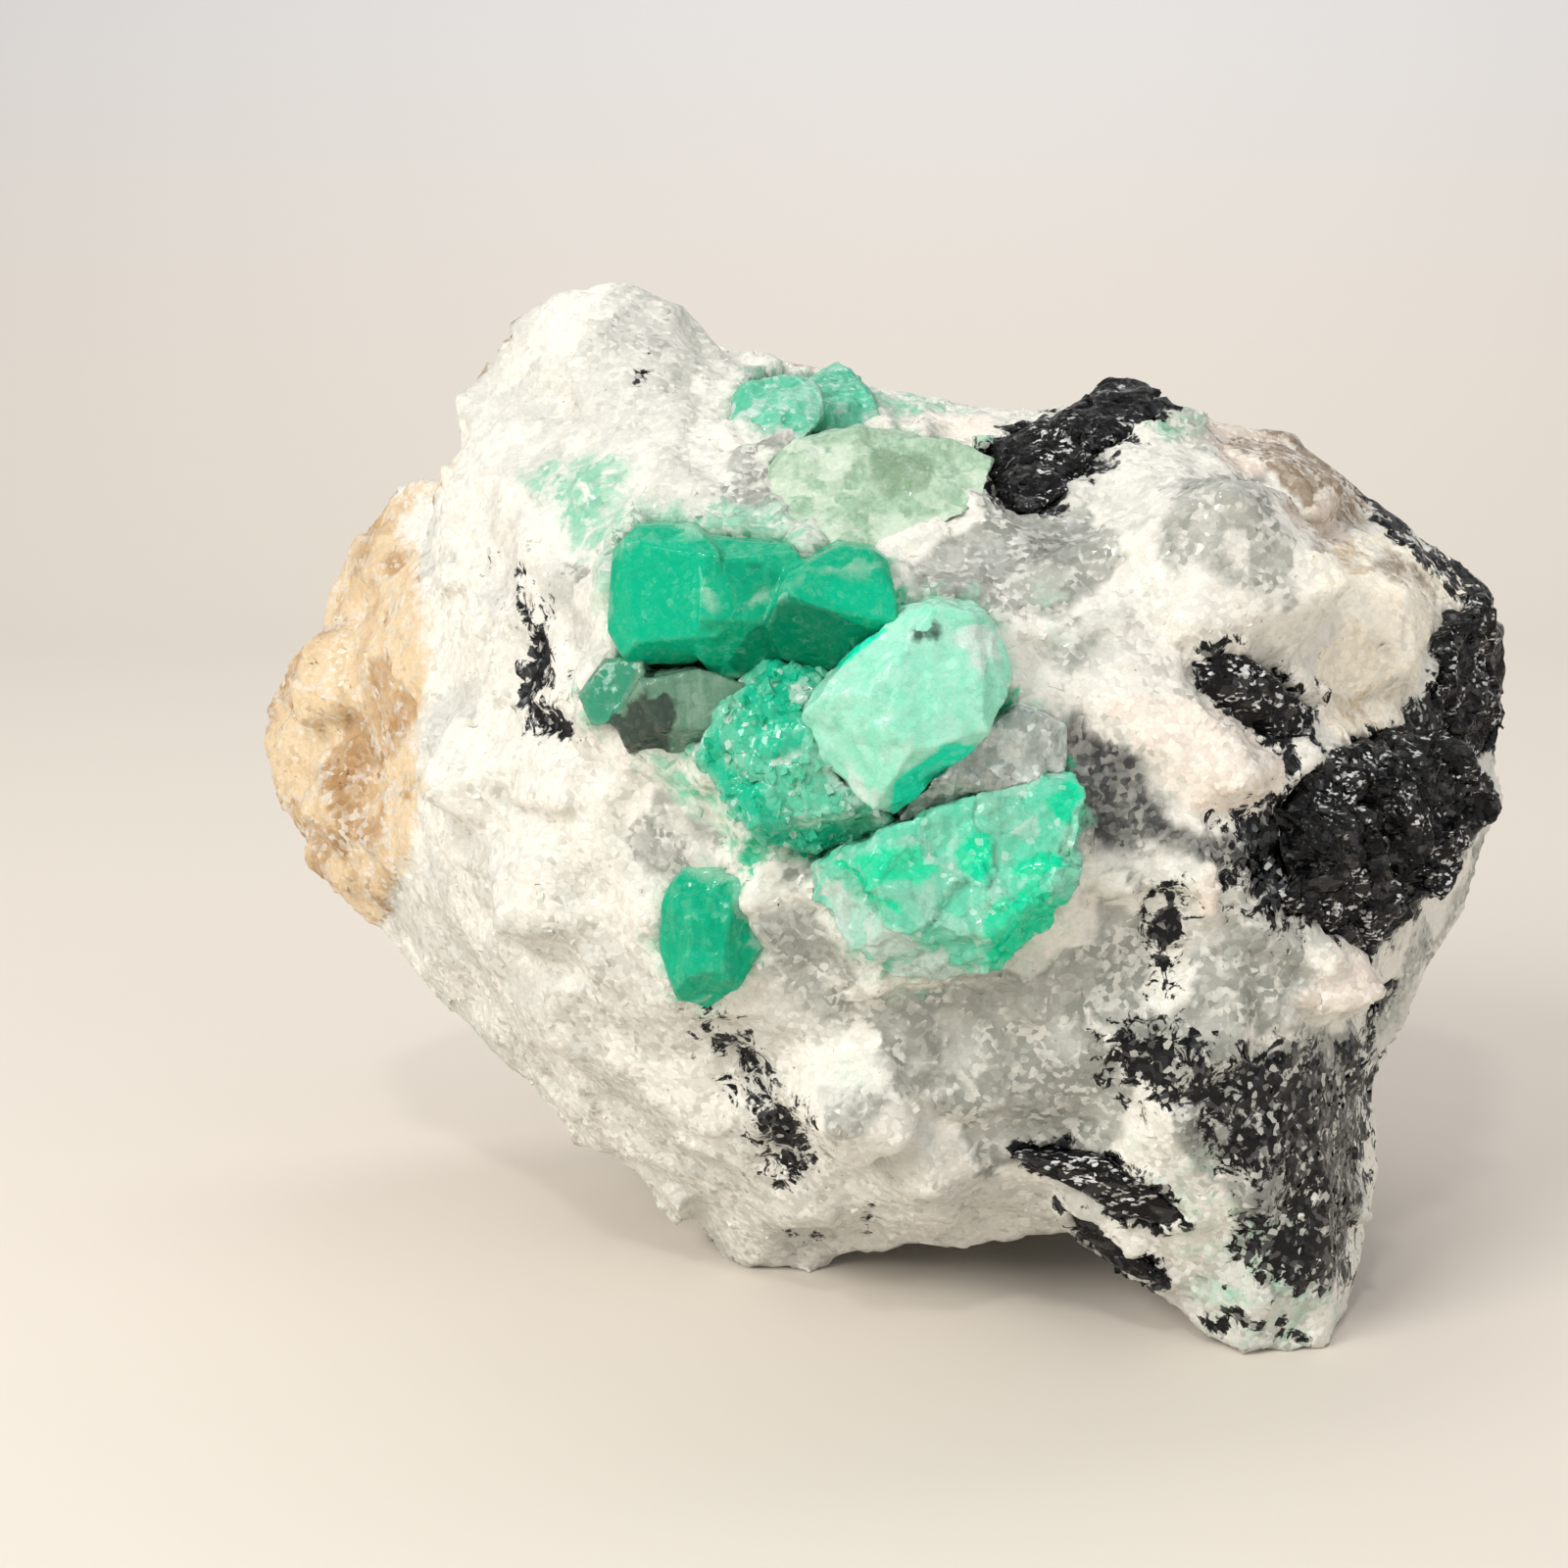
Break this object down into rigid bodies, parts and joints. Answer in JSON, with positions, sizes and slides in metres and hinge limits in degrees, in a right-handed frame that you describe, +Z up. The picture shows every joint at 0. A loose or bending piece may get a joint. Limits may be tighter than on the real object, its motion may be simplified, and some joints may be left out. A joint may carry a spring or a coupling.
{
  "type": "emerald in matrix specimen",
  "caption": "Broken lump of white quartz, feldspar and black mica with green emerald crystals set in its front face, resting on flat broken facets.",
  "frame": {"origin": "under the middle of the specimen's box, at the height of the facets that it rests on", "axes": "+Z up, +X to the right along the width, -Y the side with the emerald crystals"},
  "size_m": [0.0722, 0.0492, 0.0529],
  "materials": {
    "quartz": "broken milky quartz and feldspar, iron-stained on one shoulder",
    "emerald": "glassy green beryl with flat faces and fine fractures",
    "pale_emerald": "milky pale green beryl",
    "pale_beryl": "very pale green fibrous beryl",
    "smoky_beryl": "grey-green glassy beryl with dark flecks",
    "clear_quartz": "clear grey quartz",
    "mica": "black platy mica with bright cleavage glints"
  },
  "bodies": {
    "root": {"quartz_matrix": "quartz", "emerald_main": "emerald", "emerald_drop": "emerald", "emerald_core": "emerald", "emerald_crown": "emerald", "emerald_fan": "pale_emerald", "emerald_pale": "pale_emerald", "beryl_band": "pale_beryl", "smoky_beryl": "smoky_beryl", "clear_quartz": "clear_quartz", "mica_crest": "mica", "mica_lens": "mica", "mica_flank": "mica", "mica_blade_upper": "mica", "mica_blade_lower": "mica"}
  },
  "joints": []
}
